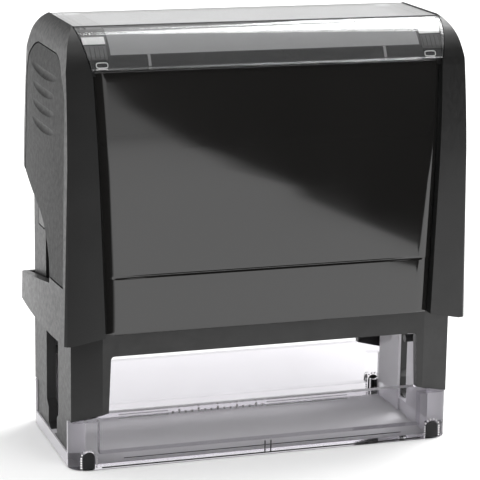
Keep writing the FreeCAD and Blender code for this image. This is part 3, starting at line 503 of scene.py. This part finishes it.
def coil(name, node):
    """A return spring with closed end turns, from the spring guides' foot up to the yoke's bar."""
    turns, points_per_turn, wire = 6.5, 28, 0.5
    closing = 0.05           # how strongly the end turns close up
    air = 0.45               # how much slimmer the coil is than the CAD one, in radius
    low, high = box_of(node)
    x = (low[0] + high[0]) / 2
    foot, head = box_of("spring_guides")[0][2], YOKE_BAR
    radius = (high[0] - low[0]) / 2 - wire - air
    count = int(turns * points_per_turn)
    points = []
    for i in range(count + 1):
        share = i / count
        eased = share - closing * math.sin(2 * math.pi * share)
        angle = 2 * math.pi * turns * share
        z = foot + wire + (head - foot - 2 * wire) * eased
        points.append((x + radius * math.cos(angle), radius * math.sin(angle), z))
    piece = mesh_piece(name, *tube(points, wire), STEEL, "cap", "spring")
    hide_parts(node)
    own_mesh(piece)


def soft_slab(name, node, material, body, slot, crown, soft_face):
    """A foam or felt slab: rounded edges, a slightly crowned face and a faintly uneven surface.

    The crowned face looks up for a soft_face of 1 and down for -1.
    """
    low, high = box_of(node)
    size = [high[i] - low[i] for i in range(3)]
    middle = [(high[i] + low[i]) / 2 for i in range(3)]
    rounding = min(0.5, size[2] / 3)
    ripple_deep = 0.03
    bm = bmesh.new()
    bmesh.ops.create_grid(bm, x_segments=60, y_segments=24, size=0.5)
    grid, faces = taken(bm)

    def side(direction):
        sheet = []
        for p in grid:
            x, y = p.x * size[0], p.y * size[1]
            near = min(size[0] / 2 - abs(x), size[1] / 2 - abs(y))
            drop = rounding - math.sqrt(max(rounding ** 2 - max(rounding - near, 0) ** 2, 0))
            z = size[2] / 2 - drop - crown
            if direction == soft_face:
                z += crown * (1 - (2 * p.x) ** 4) * (1 - (2 * p.y) ** 2)
            if near > rounding:
                z += ripple_deep * math.sin(x * 1.7 + y * 0.9) * math.sin(y * 1.3)
            sheet.append(Vector((middle[0] + x, middle[1] + y, middle[2] + direction * z)))
        return sheet

    count = len(grid)
    quads = [tuple(f) for f in faces] + [tuple(count + k for k in reversed(f)) for f in faces]
    # An edge that only one face uses lies on the outline, where the two sheets are joined.
    uses = {}
    for face in faces:
        for a, b in zip(face, face[1:] + face[:1]):
            key = frozenset((a, b))
            uses[key] = None if key in uses else (a, b)
    quads += [(b, a, count + a, count + b) for a, b in filter(None, uses.values())]
    piece = mesh_piece(name, side(1) + side(-1), quads, material, body, slot)
    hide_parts(node)


# ---------------------------------------------------------------- small pieces added to the CAD

def window_catches():
    """What holds the index window at each end, seen through it. Two near black strips are painted shade:
    one for the black inside the slot above the pale bar, one for the shade below the ribs.
    """
    # Distances from the cap's form, as half_depth takes them.
    outer, inner = 1.44, 1.66
    ring_offset, shade_offset, rib_back, rib_bed = 1.46, 1.56, 1.57, 1.58
    inner_end, outer_end = 36.1, 41.0
    slot_z, bar_z, shade_z = (94.8, 95.8), (93.6, 94.85), (87.6, 90.6)
    bed_z, rib_z, rib_half, rib_count = (90.75, 93.3), (90.9, 93.2), 0.16, 5
    for label, sign in SIDES:
        x0, x1 = sorted((inner_end * sign, outer_end * sign))
        # Painted shade: near black strips for the black inside the slot and for the shade below the ribs.
        dark = [wrapped(x0, x1, *slot_z, outer, inner), wrapped(x0, x1, *shade_z, shade_offset, inner)]
        mesh_piece(f"catch_slot_painted_shade_{label}", *joined(dark), DARK, "cap", "dark_shell")
        mesh_piece(f"catch_bar_{label}", *wrapped(x0, x1, *bar_z, outer, inner), PALE, "cap", "clear")
        ribs = [wrapped(x0, x1, *bed_z, rib_bed, inner)]
        for k in range(rib_count):
            x = x0 + (k + 0.5) * (x1 - x0) / rib_count
            ribs.append(wrapped(x - rib_half, x + rib_half, *rib_z, outer, rib_back))
        mesh_piece(f"catch_ribs_{label}", *joined(ribs), BUTTON, "cap", "clear")
        ring = catch_ring(sign, ring_offset)
        mesh_piece(f"catch_ring_{label}", *ring, PALE, "cap", "clear")


def catch_ring(sign, offset):
    """Points and faces of a small rounded ring on the cap's front, at one end."""
    ring_x, ring_z, half_wide, half_tall = 37.6, 89.75, 1.25, 0.5
    points, count, wire, squareness = [], 32, 0.11, 0.5
    for k in range(count):
        angle = 2 * math.pi * k / count
        wide, tall = math.cos(angle), math.sin(angle)
        x = ring_x * sign + half_wide * math.copysign(abs(wide) ** squareness, wide)
        z = ring_z + half_tall * math.copysign(abs(tall) ** squareness, tall)
        points.append((x, -half_depth(z, offset), z))
    return tube(points, wire, closed=True)


def card_marks():
    """Thin edges round the index card: fold lines at its ends, a guide along each side, two ribs."""
    card_x, _, z = box_of("index_card")[1]
    fold_y, guide_y, half, rounding = 10.6, 10.15, 0.12, 0.03
    lines = []
    for fold_x in (39.4, 40.7):
        for x in (-fold_x, fold_x):
            low, high = (x - half, -fold_y, z - 0.15), (x + half, fold_y, z + 0.08)
            lines.append(bar(low, high, rounding))
    for y in (-guide_y, guide_y):
        low, high = (-card_x, y - half, z - 0.02), (card_x, y + half, z + 0.1)
        lines.append(bar(low, high, rounding))
    mesh_piece("card_lines", *joined(lines), DARK, "cap", "dark_shell")
    rib_x, rib_half, rib_z, outer, inner = 27.0, 0.3, (89.3, 91.5), 1.5, 1.68
    ribs = [
        wrapped(rib_x * sign - rib_half, rib_x * sign + rib_half, *rib_z, outer, inner)
        for _, sign in SIDES
    ]
    mesh_piece("card_ribs", *joined(ribs), MIST, "cap", "dark_shell")


def corner_bead_arches():
    """The arch of small beads round each rubber foot, just behind the clear base's front and back."""
    radius, rise, size = 1.75, 2.7, 0.24
    leg_foot, leg_beads, arc_beads = 0.5, 4, 8
    core_gap = 0.45
    foot_r, wall_room = 1.3, 0.55
    foot_x = box_of("rubber_feet")[1][0] - foot_r
    face_y = box_of("clear_base")[1][1] - wall_room
    for depth, sign_y in DEPTHS:
        for label, sign in SIDES:
            x, y = foot_x * sign, face_y * sign_y
            beads = []
            for k in range(leg_beads):
                z = leg_foot + k * (rise - leg_foot) / leg_beads
                beads += [bead((x + radius * s, y, z), size) for s in (-1, 1)]
            for k in range(arc_beads):
                angle = math.pi * k / (arc_beads - 1)
                beads.append(bead((x + radius * math.cos(angle), y, rise + radius * math.sin(angle)), size))
            mesh_piece(f"bead_arch_{depth}_{label}", *joined(beads), PALE, "base", "clear")
            core = arch_core(x, y, radius - core_gap, rise)
            mesh_piece(f"bead_core_{depth}_{label}", *core, FOOT, "base", "foot")


def arch_core(x, y, radius, rise):
    """Points and faces of a thin dark plate with a round top."""
    foot, half_thick, steps = 0.1, 0.18, 12
    outline = [(-radius, foot)]
    for k in range(steps + 1):
        angle = math.pi * k / steps
        outline.append((-radius * math.cos(angle), rise + radius * math.sin(angle)))
    outline.append((radius, foot))
    near = [(x + a, y - half_thick, z) for a, z in outline]
    far = [(x + a, y + half_thick, z) for a, z in outline]
    count = len(outline)
    faces = [tuple(range(count - 1, -1, -1)), tuple(range(count, 2 * count))]
    faces += [(i, (i + 1) % count, count + (i + 1) % count, count + i) for i in range(count)]
    return near + far, faces


def wall_bar(x0, x1, y, z0, z1, half_thick, rounding):
    """Points and faces of a bar that lies along the clear base's front wall."""
    return bar((x0, y - half_thick, z0), (x1, y + half_thick, z1), rounding)


def base_front_marks_and_painted_shade():
    """The clear base's moulded centre mark and a long line inside the front wall, and a near black strip
    along the wall's foot that is painted shade where the base meets the floor.
    """
    front = -box_of("clear_base")[1][1] + 0.3
    mark_half, mark_z = 0.14, (0.4, 3.1)
    marks_and_painted_shade = [
        wall_bar(x - mark_half, x + mark_half, front, *mark_z, 0.12, 0.04)
        for x in (0.0, 1.4)
    ]
    # The first bar is the long line. The second, along the wall's foot, is painted shade where the base
    # meets the floor.
    for half_long, z0, z1 in ((33, 2.0, 2.16), (38, 0.12, 0.42)):
        marks_and_painted_shade.append(wall_bar(-half_long, half_long, front, z0, z1, 0.1, 0.03))
    mesh_piece("base_front_marks_and_painted_shade", *joined(marks_and_painted_shade), DARK, "base", "foot")


def base_scale():
    """A scale of plain ticks with a pair of rails on each side, inside the front wall."""
    wall = -box_of("clear_base")[1][1] + 1.5
    foot, pitch, middle, tick_half = 11.1, 1.5, -11.0, 0.25
    long_tick, short_tick = 0.9, 0.55
    rail_step, rail_half = 0.8, 0.08
    ticks = []
    for k in range(-7, 8):
        tall = long_tick if k % 3 == 0 else short_tick
        x = middle + k * pitch
        ticks.append(wall_bar(x - tick_half, x + tick_half, wall, foot, foot + tall, 0.1, 0.08))
    for x0, x1 in ((-34.0, -22.5), (0.5, 20.0)):
        for z in (foot, foot + rail_step):
            ticks.append(wall_bar(x0, x1, wall, z - rail_half, z + rail_half, 0.1, 0.05))
    mesh_piece("base_scale", *joined(ticks), MIST, "base", "clear")


# ---------------------------------------------------------------- refine the CAD nodes

EDGES = {
    "cap_shell": 0.35,
    "frame_housing": 0.25,
    "clear_base": 0.22,
    "rear_panel": 0.12,
    "grip_panel_left": 0.15,
    "grip_panel_right": 0.15,
    "index_window": 0.15,
    "cartridge_tray": 0.3,
    "die_mount": 0.25,
    "yoke": 0.3,
    "lock_button_left": 0.3,
    "lock_button_right": 0.3,
}
for node_name, width in EDGES.items():
    round_edges(frame["nodes"][node_name], width * MM)


# ---------------------------------------------------------------- stage, light and camera

def floor():
    """A plain white floor, a hair below the feet."""
    wide, drop = 6.0, 0.0002
    bpy.ops.mesh.primitive_plane_add(size=wide, location=(0, 0, -drop))
    plane = bpy.context.object
    plane.name = "floor"
    made = Surface("floor_white", grey(0.9), 0.7)
    made.vary_color(made.noise(3, 2), grey(0.89), grey(0.91))
    made.set(Specular_IOR_Level=0.2)
    plane.data.materials.append(made.material)


def fading_black(name):
    """Black that fades to nothing where the mesh's shade attribute falls to zero."""
    material = bpy.data.materials.new(name)
    material.use_nodes = True
    nodes, links = material.node_tree.nodes, material.node_tree.links
    nodes.clear()
    out = nodes.new("ShaderNodeOutputMaterial")
    mix = nodes.new("ShaderNodeMixShader")
    shade = nodes.new("ShaderNodeAttribute")
    shade.attribute_name = "shade"
    black = nodes.new("ShaderNodeBsdfDiffuse")
    black.inputs["Color"].default_value = (0.001, 0.001, 0.001, 1)
    links.new(shade.outputs["Fac"], mix.inputs["Fac"])
    links.new(nodes.new("ShaderNodeBsdfTransparent").outputs["BSDF"], mix.inputs[1])
    links.new(black.outputs["BSDF"], mix.inputs[2])
    links.new(mix.outputs["Shader"], out.inputs["Surface"])
    return material


def dark_card(name, corners, lift):
    """A black card that only reflections see, as a studio's dark side.

    Each corner is two places in the card's own plane and the width over which its edge fades.
    """
    count = len(corners)
    flat = [Vector(c[:2]) for c in corners]
    turning = sum(flat[i - 1].x * flat[i].y - flat[i].x * flat[i - 1].y for i in range(count))
    outer = []
    for i, p in enumerate(flat):
        a, b = (p - flat[i - 1]).normalized(), (flat[(i + 1) % count] - p).normalized()
        normal = (Vector((a.y, -a.x)) + Vector((b.y, -b.x))).normalized()
        outer.append(p + normal * math.copysign(corners[i][2], turning))
    verts = [lift(p) for p in flat + outer]
    faces = [tuple(range(count))]
    faces += [(i, (i + 1) % count, count + (i + 1) % count, count + i) for i in range(count)]
    mesh = bpy.data.meshes.new(name)
    mesh.from_pydata(verts, [], faces)
    shade = mesh.attributes.new("shade", "FLOAT", "POINT")
    for i in range(2 * count):
        shade.data[i].value = 1.0 if i < count else 0.0
    card = bpy.data.objects.new(name, mesh)
    bpy.context.scene.collection.objects.link(card)
    card.data.materials.append(fading_black(name + "_black"))
    card.visible_camera = False
    card.visible_diffuse = False
    card.visible_transmission = False
    card.visible_shadow = False


def area_light(name, place, target, size, power, reflected=True):
    data = bpy.data.lights.new(name, "AREA")
    data.shape = "RECTANGLE"
    data.size, data.size_y = size
    data.energy = power
    lamp = bpy.data.objects.new(name, data)
    bpy.context.scene.collection.objects.link(lamp)
    lamp.location = place
    aim = Vector(target) - Vector(place)
    lamp.rotation_euler = aim.to_track_quat("-Z", "Y").to_euler()
    lamp.visible_glossy = reflected
    lamp.visible_transmission = reflected


def world(strength):
    made = bpy.data.worlds.new("studio")
    bpy.context.scene.world = made
    made.use_nodes = True
    made.node_tree.nodes["Background"].inputs["Color"].default_value = (1, 1, 1, 1)
    made.node_tree.nodes["Background"].inputs["Strength"].default_value = strength


def camera():
    """The photograph's viewing angle: slightly from the left and above, through a long lens."""
    azimuth, elevation, roll = math.radians(-18.15), math.radians(13.74), math.radians(0.82)
    aim, distance = Vector((-0.00031, 0, 0.0452)), 0.4975
    back = Vector((
        math.sin(azimuth) * math.cos(elevation),
        -math.cos(azimuth) * math.cos(elevation),
        math.sin(elevation),
    ))
    data = bpy.data.cameras.new("camera")
    data.sensor_width = 36
    data.lens = 162.35
    data.clip_start, data.clip_end = 0.01, 20
    cam = bpy.data.objects.new("camera", data)
    bpy.context.scene.collection.objects.link(cam)
    cam.location = aim + back * distance
    right = Vector((0, 0, 1)).cross(back).normalized()
    up = back.cross(right)
    tilted_right = math.cos(roll) * right + math.sin(roll) * up
    tilted_up = -math.sin(roll) * right + math.cos(roll) * up
    turn = Matrix((tilted_right, tilted_up, back)).transposed()
    cam.rotation_mode = "QUATERNION"
    cam.rotation_quaternion = turn.to_quaternion()
    bpy.context.scene.camera = cam


def dark_side():
    """Where the studio is dark: the left, and a wedge that starts beside the stamp on the right."""
    back_y, rear_y, above_floor = -1.08, 1.2, 0.0004

    def on_floor(p):
        return (p.x, p.y, above_floor)

    def on_wall(p):
        return (p.x, back_y, p.y)

    def on_rear_wall(p):
        return (p.x, rear_y, p.y)

    far, high = 3.0, 1.5
    dark_card("dark_left", [
        (-far, -0.05, 0.02), (-0.06, -0.05, 0.01), (-0.03, -0.25, 0.02),
        (0, -0.60, 0.05), (0.03, back_y, 0.08), (-far, back_y, 0.02),
    ], on_floor)
    dark_card("dark_behind_left", [
        (-2.0, 0.42, 0.25), (-0.18, 0.42, 0.25), (-0.18, high, 0.25), (-2.0, high, 0.25),
    ], on_rear_wall)
    dark_card("dark_right", [
        (0.12, -0.20, 0.006), (0.111, -0.30, 0.007), (0.157, -0.50, 0.018),
        (0.308, back_y, 0.022), (far, back_y, 0.05), (1.2, -0.9, 0.05),
    ], on_floor)
    dark_card("dark_wall_left", [
        (-far, 0, 0.02), (0.03, 0, 0.08), (0.06, high, 0.12), (-far, high, 0.12),
    ], on_wall)
    dark_card("dark_wall_right", [
        (0.306, 0, 0.022), (far, 0, 0.05), (far, high, 0.12), (0.14, high, 0.12),
        (0.19, 0.42, 0.05), (0.24, 0.25, 0.016), (0.255, 0.15, 0.014),
    ], on_wall)


glossy_face()
coil("return_coil_left", "return_spring_left")
coil("return_coil_right", "return_spring_right")
soft_slab("ink_felt", "ink_pad", INK, "cartridge", "ink", 0.15, -1)
soft_slab("die_foam", "die_cushion", CUSHION, "die", "foam", 0.0, 1)
window_catches()
card_marks()
corner_bead_arches()
base_front_marks_and_painted_shade()
base_scale()

floor()
world(0.95)
bpy.context.scene.view_settings.view_transform = "Standard"
dark_side()
area_light("key_right", (0.75, 0.45, 1.3), (0, 0, 0.03), (0.7, 0.7), 15)
area_light("left_glow", (-1.2, 0.5, 0.45), (0, 0, 0.05), (0.8, 0.8), 1.5)
area_light("front_fill", (0.1, -0.9, 1.5), (0, -0.1, 0), (0.9, 0.9), 11, reflected=False)
camera()
